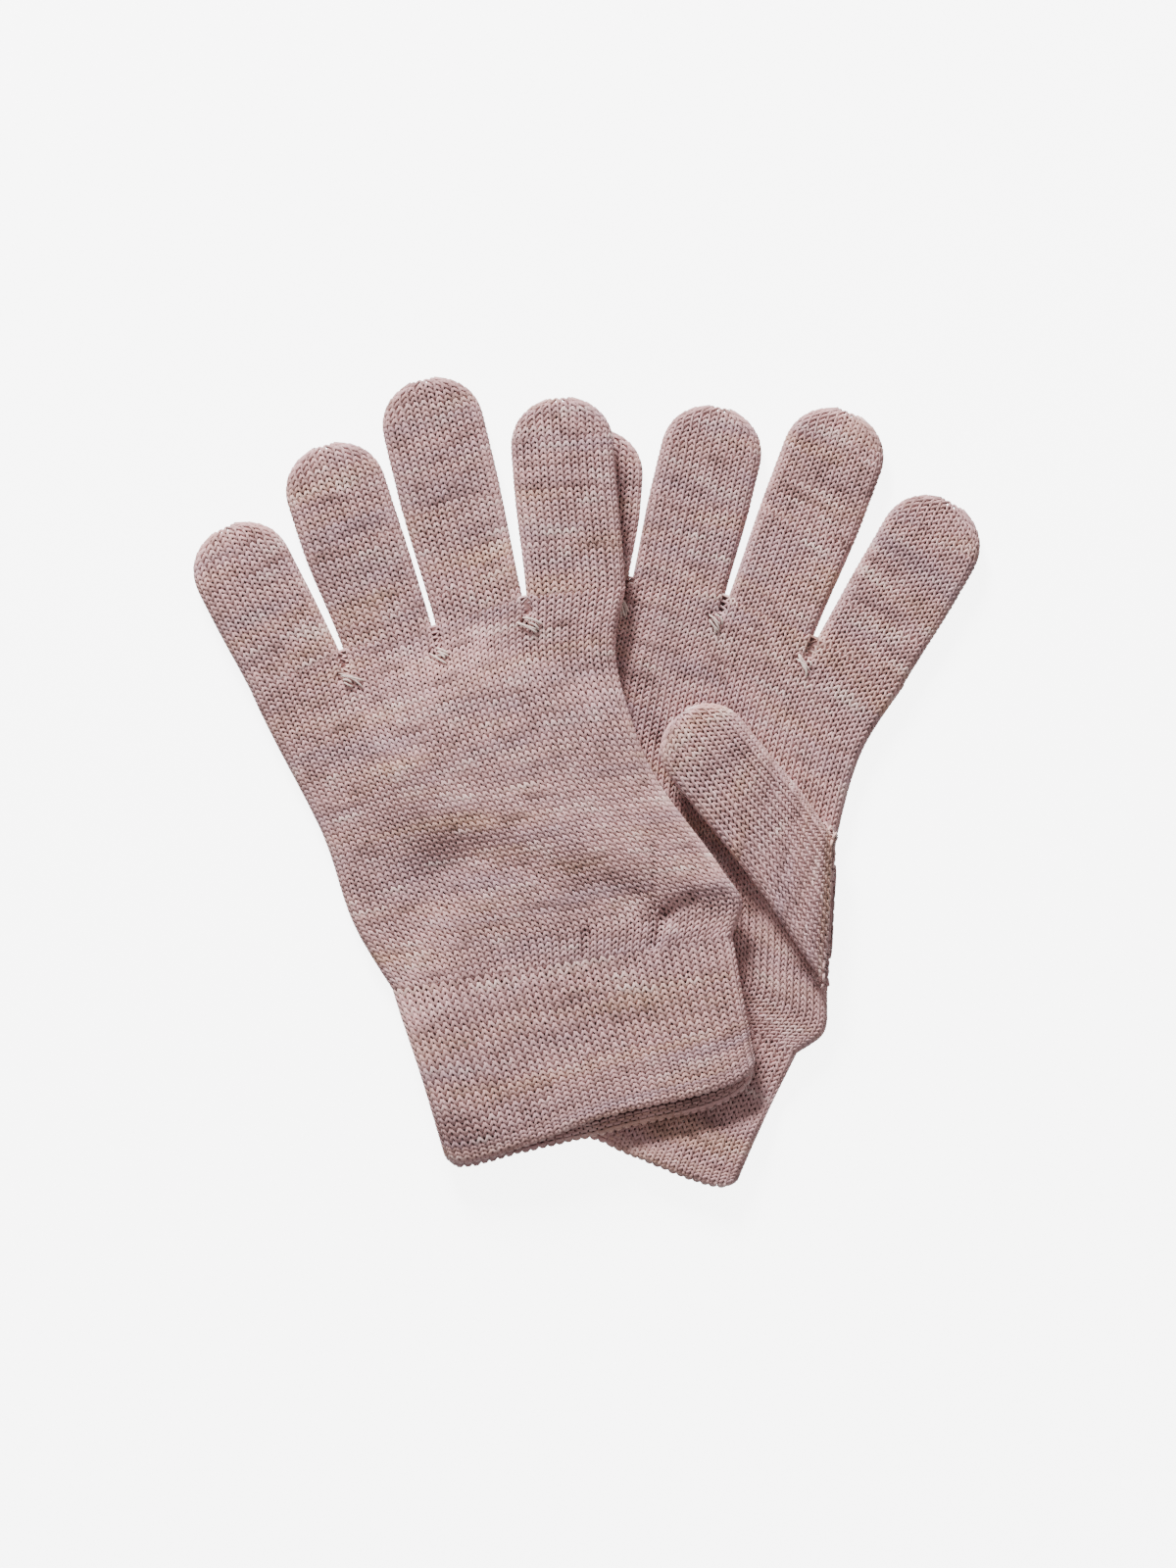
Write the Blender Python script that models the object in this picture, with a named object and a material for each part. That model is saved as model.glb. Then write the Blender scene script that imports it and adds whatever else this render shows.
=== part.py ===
"""A pair of knitted gloves lying crossed on a flat surface.

The front glove lies palm down on top of the rear glove, which lies palm up.
Each glove is a ribbed cuff with a hem and elastic threads, a hand tube, four
finger tubes and a thumb tube folded over the palm.  Lengths are in millimetres
and become metres when a mesh is made.  +Z is up, the surface is at Z = 0.
"""

import math

import bmesh
import bpy
from mathutils import Matrix, Vector
from mathutils.bvhtree import BVHTree

METRES = 0.001

# Driving dimensions, in millimetres.
GAP = 0.3
FABRIC = 0.7
CUFF_FABRIC = 1.0
GLOVE_THICKNESS = 5.6
CUFF_EXTRA_THICKNESS = 0.6
PRESSED_LOSS = 2.5
FRONT_THUMB_THICKNESS = 2.8
HEM_LENGTH = 2.7
CUFF_HALF_WIDTH = 39.8
SLIT_WIDTH = 1.2
THREAD_SIZE = 0.35
THREAD_PLACES = (0.3, 0.65)
DARN_RADIUS = 0.25
DARN_DROP = 7.5

# Heights at which the front glove's layers lie.
FRONT_BASE = 4.6
FRONT_THUMB_REST = 0.75
FRONT_THUMB_BASE = GLOVE_THICKNESS - PRESSED_LOSS + FRONT_THUMB_REST
OVER_THUMB_BASE = FRONT_THUMB_BASE + FRONT_THUMB_THICKNESS + GAP
DRAPE_RUN = 7.5
OVER_THUMB_RUN = 12.0
PRESS_RUN = 6.5
PRESS_MARGIN = 3.5
THUMB_PRESSED_LOSS = 1.2
THUMB_CLEARANCE = 4.5

# Mesh density.
COLUMNS_PER_FINGER = {"front": 4, "rear": 3}
ARC_SEGMENTS = 4
DIGIT_COLUMNS = 4
DIGIT_ARC_SEGMENTS = 3
DIGIT_ROWS = 3
TIP_ANGLES = (32.0, 57.0, 77.0)
HAND_ROWS = 10

KNIT_COLOUR = {"front": (0.60, 0.46, 0.44, 1.0), "rear": (0.57, 0.44, 0.42, 1.0)}
CUFF_COLOUR = (0.55, 0.43, 0.41, 1.0)
THREAD_COLOUR = (0.80, 0.76, 0.72, 1.0)

FINGERS = ("little", "ring", "middle", "index")


class Glove:
    """The flat pattern of one glove, in its own frame.

    The frame's first coordinate runs across the glove towards the thumb side
    and its second runs from the cuff's mouth to the fingertips.
    """

    def __init__(self, name, origin, tilt, roots, splays, tips, edge_left, edge_right):
        self.name = name
        self.origin = Vector(origin)
        angle = math.radians(tilt)
        self.along = Vector((-math.sin(angle), math.cos(angle)))
        self.across = Vector((math.cos(angle), math.sin(angle)))
        self.wrist = (Vector((-42.5, 48.0)), Vector((41.5, 39.0)))
        self.mouth = (Vector((-CUFF_HALF_WIDTH, 0.0)), Vector((CUFF_HALF_WIDTH, 0.0)))
        self.fold = (Vector((45.0, 57.0)), Vector((32.0, 94.0)))
        self.roots = [Vector(point) for point in roots]
        self.splays = splays
        self.tips = tips
        self.left_points = {
            0.0: self.wrist[0],
            0.2: Vector(edge_left[0]),
            0.5: Vector(edge_left[1]),
            1.0: self.roots[0],
        }
        self.right_points = {
            0.0: self.wrist[1],
            0.1: Vector((46.5, 48.5)),
            0.2: self.fold[0],
            0.6: self.fold[1],
            0.8: Vector(edge_right),
            1.0: self.roots[-1],
        }

    def world(self, point):
        """The world position, in millimetres, of a point of the flat pattern."""
        return self.origin + self.across * point[0] + self.along * point[1]


FRONT = Glove(
    name="front",
    origin=(4.8, -87.6),
    tilt=14.7,
    roots=((-59.3, 130.0), (-34.5, 134.5), (-10.2, 134.5), (14.0, 136.0), (40.0, 132.0)),
    splays=(-11.2, -3.0, 1.1, 10.8),
    tips=(173.3, 186.8, 196.8, 183.8),
    edge_left=((-48.3, 66.0), (-51.9, 91.0)),
    edge_right=(33.0, 115.0),
)

REAR = Glove(
    name="rear",
    origin=(-1.45, -89.35),
    tilt=-21.4,
    roots=((-61.8, 128.0), (-40.3, 136.5), (-15.8, 141.0), (9.0, 139.3), (34.9, 136.5)),
    splays=(-19.0, -7.8, -0.7, 8.3),
    tips=(168.0, 186.0, 196.5, 185.0),
    edge_left=((-48.0, 65.0), (-51.9, 91.0)),
    edge_right=(31.0, 115.0),
)

THUMB_SPLAY = -60.5
THUMB_LENGTH = 63.5
THUMB_HALF_WIDTH = 12.7


# ---------------------------------------------------------------- small maths

def smoothstep(value):
    """Rises from 0 to 1 as value goes from 0 to 1, with level ends."""
    value = min(max(value, 0.0), 1.0)
    return value * value * (3.0 - 2.0 * value)


def spread(count):
    """count + 1 even values from 0 to 1."""
    return [index / count for index in range(count + 1)]


def along_points(points, place):
    """Reads a chain of points, keyed by their places from 0 to 1."""
    places = sorted(points)
    for low, high in zip(places, places[1:]):
        if place <= high:
            return points[low].lerp(points[high], (place - low) / (high - low))
    return points[places[-1]]


def inside_distance(point, polygon):
    """Distance to a polygon's outline: positive inside, negative outside."""
    nearest = math.inf
    inside = False
    for start, end in zip(polygon, polygon[1:] + polygon[:1]):
        side = end - start
        place = min(max((point - start).dot(side) / side.length_squared, 0.0), 1.0)
        nearest = min(nearest, (point - start - side * place).length)
        if (start.y > point.y) != (end.y > point.y):
            crossing = start.x + (point.y - start.y) * side.x / side.y
            inside ^= point.x < crossing
    return nearest if inside else -nearest


# ------------------------------------------------------- how the gloves lie

def rear_support():
    """The outline of what holds the front glove up, left open to the right.

    It is the rear glove's left side and mouth, with room for its cuff to sway
    and its little finger to splay.
    """
    little_tip = REAR.roots[0] + Vector((-17.5, 60.0))
    pattern = [
        Vector((-47.5, -12.0)),
        Vector((-50.0, 48.0)),
        Vector((-56.0, 92.0)),
        REAR.roots[0] - Vector((3.5, 0.0)),
        little_tip,
        Vector((80.0, 230.0)),
        Vector((80.0, -1.0)),
    ]
    return [REAR.world(point) for point in pattern]


def front_footprint():
    """The outline of the front glove, closed straight across its left side."""
    index_tip = FRONT.roots[4] + Vector((6.0, 52.0))
    pattern = [
        FRONT.mouth[0],
        FRONT.mouth[1],
        FRONT.wrist[1],
        FRONT.right_points[0.1],
        FRONT.fold[0],
        FRONT.fold[1],
        FRONT.right_points[0.8],
        FRONT.roots[4],
        index_tip,
        FRONT.roots[3] + Vector((6.0, 52.0)),
        FRONT.roots[2],
        FRONT.roots[0],
    ]
    return [FRONT.world(point) for point in pattern]


def front_thumb_footprint():
    """The outline of the front thumb with room around it to swing."""
    axis, side = digit_axes(THUMB_SPLAY)
    middle = (FRONT.fold[0] + FRONT.fold[1]) / 2.0
    half = (FRONT.fold[1] - FRONT.fold[0]).dot(side) / 2.0 + THUMB_CLEARANCE
    reach = THUMB_LENGTH + 1.0
    shoulder = reach - 9.0
    pattern = [
        middle - side * half - axis * 18.0,
        middle + side * half + axis * 16.0,
        middle + side * half + axis * shoulder,
        middle + side * (half - 9.0) + axis * reach,
        middle - side * (half - 9.0) + axis * reach,
        middle - side * half + axis * shoulder,
    ]
    return [FRONT.world(point) for point in pattern]


def digit_axes(splay):
    """A digit's direction and the direction across it, in the pattern."""
    angle = math.radians(splay)
    axis = Vector((math.sin(angle), math.cos(angle)))
    side = Vector((math.cos(angle), -math.sin(angle)))
    return axis, side


REAR_SUPPORT = rear_support()
FRONT_FOOTPRINT = front_footprint()
FRONT_THUMB_FOOTPRINT = front_thumb_footprint()


def rear_layer(point):
    """Base height and thickness of the rear glove, pressed flat where covered."""
    outside = -inside_distance(point, FRONT_FOOTPRINT)
    pressed = 1.0 - smoothstep((outside - PRESS_MARGIN) / PRESS_RUN)
    return 0.0, GLOVE_THICKNESS - PRESSED_LOSS * pressed


def front_layer(point):
    """Base height and thickness of the front glove, draped over what it covers."""
    off_rear = -inside_distance(point, REAR_SUPPORT)
    off_thumb = -inside_distance(point, FRONT_THUMB_FOOTPRINT)
    on_thumb = 1.0 - smoothstep(off_thumb / OVER_THUMB_RUN)
    over_rear = FRONT_BASE * (1.0 - smoothstep(off_rear / DRAPE_RUN))
    over_thumb = OVER_THUMB_BASE * on_thumb
    base = (over_rear ** 8 + over_thumb ** 8) ** 0.125
    return base, GLOVE_THICKNESS - THUMB_PRESSED_LOSS * on_thumb


def rear_thumb_layer(_point):
    """The rear thumb lies folded on the rear palm."""
    return GLOVE_THICKNESS + GAP, GLOVE_THICKNESS


def front_thumb_layer(_point):
    """The front thumb lies folded flat between the two palms."""
    return FRONT_THUMB_BASE, FRONT_THUMB_THICKNESS


def cuff_layer(layer):
    """The same layer made thicker, for a ribbed cuff."""
    def thicker(point):
        base, thickness = layer(point)
        return base, thickness + CUFF_EXTRA_THICKNESS
    return thicker


LAYERS = {"front": front_layer, "rear": rear_layer}
THUMB_LAYERS = {"front": front_thumb_layer, "rear": rear_thumb_layer}


def place_point(glove, layer, pattern_point, rise, inset):
    """A world point on a skin, from -1 on its underside to 1 on its top."""
    flat = glove.world(pattern_point)
    base, thickness = layer(flat)
    half = thickness / 2.0
    return Vector((flat.x, flat.y, base + half + rise * (half - inset)))


# ------------------------------------------------------------- section rings

def section(columns, arc_segments, round_share):
    """A flattened ring as (place across from -1 to 1, rise from -1 to 1).

    round_share is the part of the half width that each rounded side takes.
    """
    ring = []
    for place in columns:
        inner = min(max(place, -1.0 + round_share), 1.0 - round_share)
        ring.append((inner, 1.0))
    for index in range(1, arc_segments):
        angle = math.pi * index / arc_segments
        ring.append((1.0 - round_share * (1.0 - math.sin(angle)), math.cos(angle)))
    for place in reversed(columns):
        inner = min(max(place, -1.0 + round_share), 1.0 - round_share)
        ring.append((inner, -1.0))
    for index in range(1, arc_segments):
        angle = math.pi * index / arc_segments
        ring.append((-1.0 + round_share * (1.0 - math.sin(angle)), -math.cos(angle)))
    return ring


def skin_between(outer, inner, holes=()):
    """Vertices and faces of a closed wall between two tubes of rings.

    holes holds (row, column) cells that are left open right through.
    """
    rows = len(outer)
    count = len(outer[0])
    vertices = [point for ring in outer for point in ring]
    vertices += [point for ring in inner for point in ring]
    offset = rows * count

    def corner(row, column):
        return row * count + column % count

    faces = []
    for row in range(rows - 1):
        for column in range(count):
            if (row, column) in holes:
                continue
            quad = [
                corner(row, column),
                corner(row, column + 1),
                corner(row + 1, column + 1),
                corner(row + 1, column),
            ]
            faces.append(quad)
            faces.append([index + offset for index in reversed(quad)])
    edge_use = {}
    for face in faces:
        for start, end in zip(face, face[1:] + face[:1]):
            edge_use[(start, end)] = True
    for start, end in list(edge_use):
        if start < offset and (end, start) not in edge_use:
            faces.append([end, start, start + offset, end + offset])
    return vertices, faces


def close_tip(vertices, faces, ring_starts, count, tips):
    """Replaces the open rim at the last rings by a fan to each tip point."""
    first, second = ring_starts
    rim = set(range(first, first + count)) | set(range(second, second + count))
    kept = [face for face in faces if not set(face) <= rim]
    for start, tip, turned in ((first, tips[0], False), (second, tips[1], True)):
        vertices.append(tip)
        centre = len(vertices) - 1
        for column in range(count):
            fan = [start + column, start + (column + 1) % count, centre]
            kept.append(fan[::-1] if turned else fan)
    return vertices, kept


# ----------------------------------------------------------- Blender objects

def clear_scene():
    """Removes whatever the file already holds."""
    for item in list(bpy.data.objects):
        bpy.data.objects.remove(item, do_unlink=True)


def make_material(name, colour, roughness):
    """A plain Principled material."""
    material = bpy.data.materials.new(name)
    material.use_nodes = True
    shader = material.node_tree.nodes["Principled BSDF"]
    shader.inputs["Base Color"].default_value = colour
    shader.inputs["Roughness"].default_value = roughness
    shader.inputs["Metallic"].default_value = 0.0
    return material


def make_joint(name, point):
    """An empty on a joint's axis, at a world point in millimetres."""
    empty = bpy.data.objects.new(name, None)
    empty.empty_display_size = 0.01
    empty.location = Vector(point) * METRES
    bpy.context.scene.collection.objects.link(empty)
    return empty


def make_object(name, vertices, faces, material, joint):
    """A closed solid from world millimetres, hung under its joint's empty."""
    pivot = Vector(joint.location)
    mesh = bpy.data.meshes.new(name)
    points = [Vector(vertex) * METRES - pivot for vertex in vertices]
    mesh.from_pydata(points, [], faces)
    work = bmesh.new()
    work.from_mesh(mesh)
    bmesh.ops.recalc_face_normals(work, faces=work.faces)
    bmesh.ops.triangulate(work, faces=work.faces)
    work.to_mesh(mesh)
    work.free()
    mesh.shade_smooth()
    mesh.set_sharp_from_angle(angle=math.radians(50.0))
    mesh.materials.append(material)
    item = bpy.data.objects.new(name, mesh)
    item.parent = joint
    bpy.context.scene.collection.objects.link(item)
    return item


# ------------------------------------------------------------ hand and cuffs

def root_point(glove, place):
    """A point on the line of finger roots, each finger taking a quarter."""
    scaled = min(max(place, 0.0), 1.0) * len(FINGERS)
    index = min(int(scaled), len(FINGERS) - 1)
    return glove.roots[index].lerp(glove.roots[index + 1], scaled - index)


def hand_point(glove, across, up):
    """The hand's flat pattern, from the wrist (up 0) to the roots (up 1)."""
    low = glove.wrist[0].lerp(glove.wrist[1], across)
    high = root_point(glove, across)
    left = along_points(glove.left_points, up)
    right = along_points(glove.right_points, up)
    corners = glove.wrist[0].lerp(glove.wrist[1], across).lerp(
        glove.roots[0].lerp(glove.roots[-1], across), up)
    return low.lerp(high, up) + left.lerp(right, across) - corners


def sleeve_columns(glove):
    """Places across a glove, which include every slit between fingers."""
    count = COLUMNS_PER_FINGER[glove.name] * len(FINGERS)
    return [2.0 * place - 1.0 for place in spread(count)]


def sleeve_ring(glove, layer, pattern, inset, half_width):
    """One ring of a sleeve, inset from the outer skin by a fabric's depth."""
    round_share = (GLOVE_THICKNESS / 2.0) / half_width
    shrink = 1.0 - inset / half_width
    ring = []
    for place, rise in section(sleeve_columns(glove), ARC_SEGMENTS, round_share):
        point = pattern((place * shrink + 1.0) / 2.0)
        ring.append(place_point(glove, layer, point, rise, inset))
    return ring


def thumb_hole_cells(glove):
    """The cells of the hand's thumb side that open into the thumb."""
    top_columns = COLUMNS_PER_FINGER[glove.name] * len(FINGERS) + 1
    first_arc = top_columns - 1
    middle_cells = range(first_arc + 1, first_arc + ARC_SEGMENTS - 1)
    rows = range(round(0.2 * HAND_ROWS), round(0.6 * HAND_ROWS))
    return {(row, column) for row in rows for column in middle_cells}


def build_hand(glove, material, joint):
    """The hand tube, open at the wrist, at the finger roots and at the thumb."""
    layer = LAYERS[glove.name]
    outer, inner = [], []
    for up in spread(HAND_ROWS):
        left = along_points(glove.left_points, up)
        right = along_points(glove.right_points, up)
        half_width = (right - left).length / 2.0

        def pattern(across, up=up):
            return hand_point(glove, across, up)

        outer.append(sleeve_ring(glove, layer, pattern, 0.0, half_width))
        inner.append(sleeve_ring(glove, layer, pattern, FABRIC, half_width))
    vertices, faces = skin_between(outer, inner, thumb_hole_cells(glove))
    return make_object(f"{glove.name}_hand", vertices, faces, material, joint)


def cuff_point(glove, across, up):
    """The cuff's flat pattern, from its mouth (up 0) to the wrist (up 1)."""
    low = glove.mouth[0].lerp(glove.mouth[1], across)
    high = glove.wrist[0].lerp(glove.wrist[1], across)
    return low.lerp(high, up)


def cuff_rings(glove, ups_and_insets):
    """Rings of a cuff piece at the given heights and insets."""
    layer = cuff_layer(LAYERS[glove.name])
    rings = []
    for up, inset in ups_and_insets:
        def pattern(across, up=up):
            return cuff_point(glove, across, up)

        rings.append(sleeve_ring(glove, layer, pattern, inset, CUFF_HALF_WIDTH))
    return rings


def cuff_length(glove):
    """The cuff's length at its middle."""
    return (glove.wrist[0].y + glove.wrist[1].y) / 2.0


def build_hem(glove, material, joint):
    """The welt that edges the mouth of the cuff."""
    length = cuff_length(glove)
    top = HEM_LENGTH / length
    middle = 0.45 * top
    outer = cuff_rings(glove, ((0.0, 0.3), (middle, 0.0), (top, 0.0)))
    inner = cuff_rings(glove, ((0.0, 0.7), (middle, CUFF_FABRIC), (top, CUFF_FABRIC)))
    vertices, faces = skin_between(outer, inner)
    return make_object(f"{glove.name}_cuff_hem", vertices, faces, material, joint)


def build_cuff(glove, material, joint):
    """The ribbed cuff tube, with a groove inside for each elastic thread."""
    length = cuff_length(glove)
    groove_half = (THREAD_SIZE / 2.0 + GAP) / length
    depth = THREAD_SIZE + GAP
    profile = [((HEM_LENGTH + GAP) / length, CUFF_FABRIC)]
    for place in THREAD_PLACES:
        profile.append((place - groove_half - 0.001, CUFF_FABRIC))
        profile.append((place - groove_half, CUFF_FABRIC - depth))
        profile.append((place + groove_half, CUFF_FABRIC - depth))
        profile.append((place + groove_half + 0.001, CUFF_FABRIC))
    profile.append((1.0 - GAP / length, CUFF_FABRIC))
    outer = cuff_rings(glove, [(up, 0.0) for up, _inset in profile])
    inner = cuff_rings(glove, profile)
    vertices, faces = skin_between(outer, inner)
    return make_object(f"{glove.name}_cuff", vertices, faces, material, joint)


def build_thread(glove, number, material, joint):
    """One elastic thread, a closed ring inside the cuff."""
    length = cuff_length(glove)
    place = THREAD_PLACES[number]
    half = THREAD_SIZE / 2.0 / length
    shallow = CUFF_FABRIC
    deep = CUFF_FABRIC - THREAD_SIZE
    outer = cuff_rings(glove, ((place - half, deep), (place + half, deep)))
    inner = cuff_rings(glove, ((place - half, shallow), (place + half, shallow)))
    vertices, faces = skin_between(outer, inner)
    name = f"{glove.name}_elastic_thread_{number + 1}"
    return make_object(name, vertices, faces, material, joint)


# --------------------------------------------------------- fingers and thumbs

def digit_ring(glove, layer, middle, splay, places, half_width, inset, rise_scale=1.0):
    """One ring of a digit.  places(share) gives the distance along the digit."""
    axis, side = digit_axes(splay)
    half_thickness = GLOVE_THICKNESS / 2.0
    round_share = min(half_thickness / max(half_width, half_thickness), 0.9)
    columns = [2.0 * place - 1.0 for place in spread(DIGIT_COLUMNS)]
    ring = []
    for place, rise in section(columns, DIGIT_ARC_SEGMENTS, round_share):
        lateral = place * (half_width - inset)
        point = middle + side * lateral + axis * places(place)
        ring.append(place_point(glove, layer, point, rise * rise_scale, inset))
    return ring


def build_digit(glove, name, layer, root, splay, length, widest, material, joint):
    """A tube with an open root along the line root and a round closed tip.

    length runs from the middle of the root line to the tip.
    """
    axis, side = digit_axes(splay)
    middle = (root[0] + root[1]) / 2.0
    root_half = (root[1] - root[0]).dot(side) / 2.0 - SLIT_WIDTH / 2.0
    slant = (root[1] - root[0]).dot(axis) / 2.0
    outer, inner = [], []
    shoulder = length - widest
    for share in spread(DIGIT_ROWS):
        half_width = root_half + (widest - root_half) * smoothstep(share * 1.4)

        def places(place, share=share):
            start = GAP + slant * place
            return start + (shoulder - start) * share

        outer.append(digit_ring(glove, layer, middle, splay, places, half_width, 0.0))
        inner.append(digit_ring(glove, layer, middle, splay, places, half_width, FABRIC))
    for degrees in TIP_ANGLES:
        angle = math.radians(degrees)
        thinning = math.cos(angle) ** 0.45
        for rings, inset in ((outer, 0.0), (inner, FABRIC)):
            reach = shoulder + (widest - inset) * math.sin(angle)
            half_width = widest * math.cos(angle) + inset * (1.0 - math.cos(angle))

            def places(_place, reach=reach):
                return reach

            rings.append(digit_ring(
                glove, layer, middle, splay, places, half_width, inset, thinning))
    vertices, faces = skin_between(outer, inner)
    count = len(outer[0])
    last_outer = (len(outer) - 1) * count
    last_inner = (2 * len(outer) - 1) * count
    tips = [
        place_point(glove, layer, middle + axis * (length - inset), 0.0, inset)
        for inset in (0.0, FABRIC)
    ]
    vertices, faces = close_tip(vertices, faces, (last_outer, last_inner), count, tips)
    return make_object(name, vertices, faces, material, joint)


def finger_length(glove, index):
    """Length from the middle of a finger's root line to its tip."""
    axis, _side = digit_axes(glove.splays[index])
    middle = (glove.roots[index] + glove.roots[index + 1]) / 2.0
    return (glove.tips[index] - middle.y) / axis.y


FINGER_HALF_WIDTH = {"little": 12.1, "ring": 12.2, "middle": 12.3, "index": 12.4}


def build_finger(glove, index, material, joint):
    """One finger tube."""
    finger = FINGERS[index]
    root = (glove.roots[index], glove.roots[index + 1])
    return build_digit(
        glove, f"{glove.name}_{finger}_finger", LAYERS[glove.name], root,
        glove.splays[index], finger_length(glove, index), FINGER_HALF_WIDTH[finger],
        material, joint)


def build_thumb(glove, material, joint):
    """The thumb tube, folded over the palm along the fold line."""
    inward = digit_axes(THUMB_SPLAY)[0] * 0.4
    root = (glove.fold[0] + inward, glove.fold[1] + inward)
    return build_digit(
        glove, f"{glove.name}_thumb", THUMB_LAYERS[glove.name], root, THUMB_SPLAY,
        THUMB_LENGTH, THUMB_HALF_WIDTH, material, joint)


# ------------------------------------------------------------------- darning

def darn_route(centre, glove):
    """Three short strands of one yarn, laid across the end of a slit."""
    strand, pitch = 1.7, 1.2
    slant = (glove.across * 0.82 - glove.along * 0.57).normalized()
    step = Vector((-slant.y, slant.x))
    route = []
    for number in range(3):
        side = -1.0 if number % 2 else 1.0
        offset = step * pitch * (number - 1)
        ends = (centre + offset - slant * strand * side, centre + offset + slant * strand * side)
        route += [ends[0], ends[1]]
        if number < 2:
            route.append(ends[1] + step * pitch / 2.0 + slant * side * pitch / 2.0)
    return route


def surface_height(tree, point):
    """The top of a hand above a point of the plan, in millimetres."""
    start = Vector((point.x * METRES, point.y * METRES, 0.1))
    hit = tree.ray_cast(start, Vector((0.0, 0.0, -1.0)))[0]
    return hit.z / METRES


def build_darn(glove, slit, hand, material, joint):
    """The yarn that closes the crotch between two fingers."""
    depsgraph = bpy.context.evaluated_depsgraph_get()
    matrix = Matrix.Translation(joint.location)
    mesh = hand.evaluated_get(depsgraph).to_mesh()
    points = [matrix @ vertex.co for vertex in mesh.vertices]
    tree = BVHTree.FromPolygons(points, [list(face.vertices) for face in mesh.polygons])
    centre = glove.world(glove.roots[slit] - Vector((0.0, DARN_DROP)))
    route = darn_route(centre, glove)
    height = max(surface_height(tree, point) for point in route)
    curve = bpy.data.curves.new(f"{glove.name}_darn_{slit}", "CURVE")
    curve.dimensions = "3D"
    curve.bevel_depth = DARN_RADIUS * METRES
    curve.bevel_resolution = 1
    curve.use_fill_caps = True
    spline = curve.splines.new("POLY")
    spline.points.add(len(route) - 1)
    for target, point in zip(spline.points, route):
        raised = Vector((point.x, point.y, height + 0.2 + DARN_RADIUS)) * METRES
        target.co = (*(raised - joint.location), 1.0)
    curve.materials.append(material)
    name = f"{glove.name}_darn_{FINGERS[slit - 1]}_{FINGERS[slit]}"
    item = bpy.data.objects.new(name, curve)
    item.parent = joint
    bpy.context.scene.collection.objects.link(item)
    return item


# -------------------------------------------------------------------- joints

def root_height(glove, start, end, layer):
    """The highest top of a glove along a line of its pattern."""
    tops = []
    for share in spread(24):
        base, thickness = layer(glove.world(start.lerp(end, share)))
        tops.append(base + thickness)
    return max(tops)


def finger_hinge(glove, index):
    """A point on the finger's fold axis, square across the top of its root."""
    start, end = glove.roots[index], glove.roots[index + 1]
    axis, _side = digit_axes(glove.splays[index])
    slant = abs((end - start).dot(axis)) / 2.0
    flat = glove.world((start + end) / 2.0 - axis * slant)
    return Vector((flat.x, flat.y, root_height(glove, start, end, LAYERS[glove.name])))


def wrist_hinge(glove):
    """A point on the fold axis of the cuff, along the top of the wrist."""
    start, end = glove.wrist
    flat = glove.world((start + end) / 2.0)
    height = root_height(glove, start, end, cuff_layer(LAYERS[glove.name]))
    return Vector((flat.x, flat.y, height))


def corner_hinge(glove, point):
    """A point of an upright axis through a corner of the pattern."""
    flat = glove.world(point)
    return Vector((flat.x, flat.y, 0.0))


def thumb_hinge(glove):
    """A point on the thumb's fold line, just under the thumb."""
    flat = glove.world((glove.fold[0] + glove.fold[1]) / 2.0)
    base = THUMB_LAYERS[glove.name](flat)[0]
    return Vector((flat.x, flat.y, base - 0.05))


def joint_points(glove):
    """Where each moving piece of a glove turns, by piece."""
    points = {name: finger_hinge(glove, index) for index, name in enumerate(FINGERS)}
    points["thumb"] = thumb_hinge(glove)
    points["cuff"] = wrist_hinge(glove)
    if glove is REAR:
        points["little"] = corner_hinge(glove, glove.roots[1])
        points["cuff"] = corner_hinge(glove, glove.wrist[1])
    return points


def build_glove(glove):
    """All pieces of one glove."""
    name = glove.name
    knit = make_material(f"{name}_knit", KNIT_COLOUR[name], 0.95)
    rib = make_material(f"{name}_rib", CUFF_COLOUR, 0.95)
    rubber = make_material(f"{name}_elastic", THREAD_COLOUR, 0.6)
    hinges = {
        piece: make_joint(f"{name}_{piece}_joint", point)
        for piece, point in joint_points(glove).items()
    }
    base = make_joint(f"{name}_glove", Vector((*glove.world((0.0, 90.0)), 0.0)))
    hand = build_hand(glove, knit, base)
    bpy.context.view_layer.update()
    for slit in range(1, len(FINGERS)):
        build_darn(glove, slit, hand, knit, base)
    for index, finger in enumerate(FINGERS):
        build_finger(glove, index, knit, hinges[finger])
    build_thumb(glove, knit, hinges["thumb"])
    build_cuff(glove, rib, hinges["cuff"])
    build_hem(glove, rib, hinges["cuff"])
    for number in range(len(THREAD_PLACES)):
        build_thread(glove, number, rubber, hinges["cuff"])


def main():
    clear_scene()
    build_glove(REAR)
    build_glove(FRONT)


main()
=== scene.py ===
"""The looks of a pair of knitted gloves, in which every course is one looped yarn.

Each zone of a glove (cuff, hem, hand, finger, thumb) is a flattened tube.  Rings
of loops run round it, each hooked through the last, and point to the fingertips.
Lengths are in millimetres until a mesh is made.
"""

import math

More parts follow.
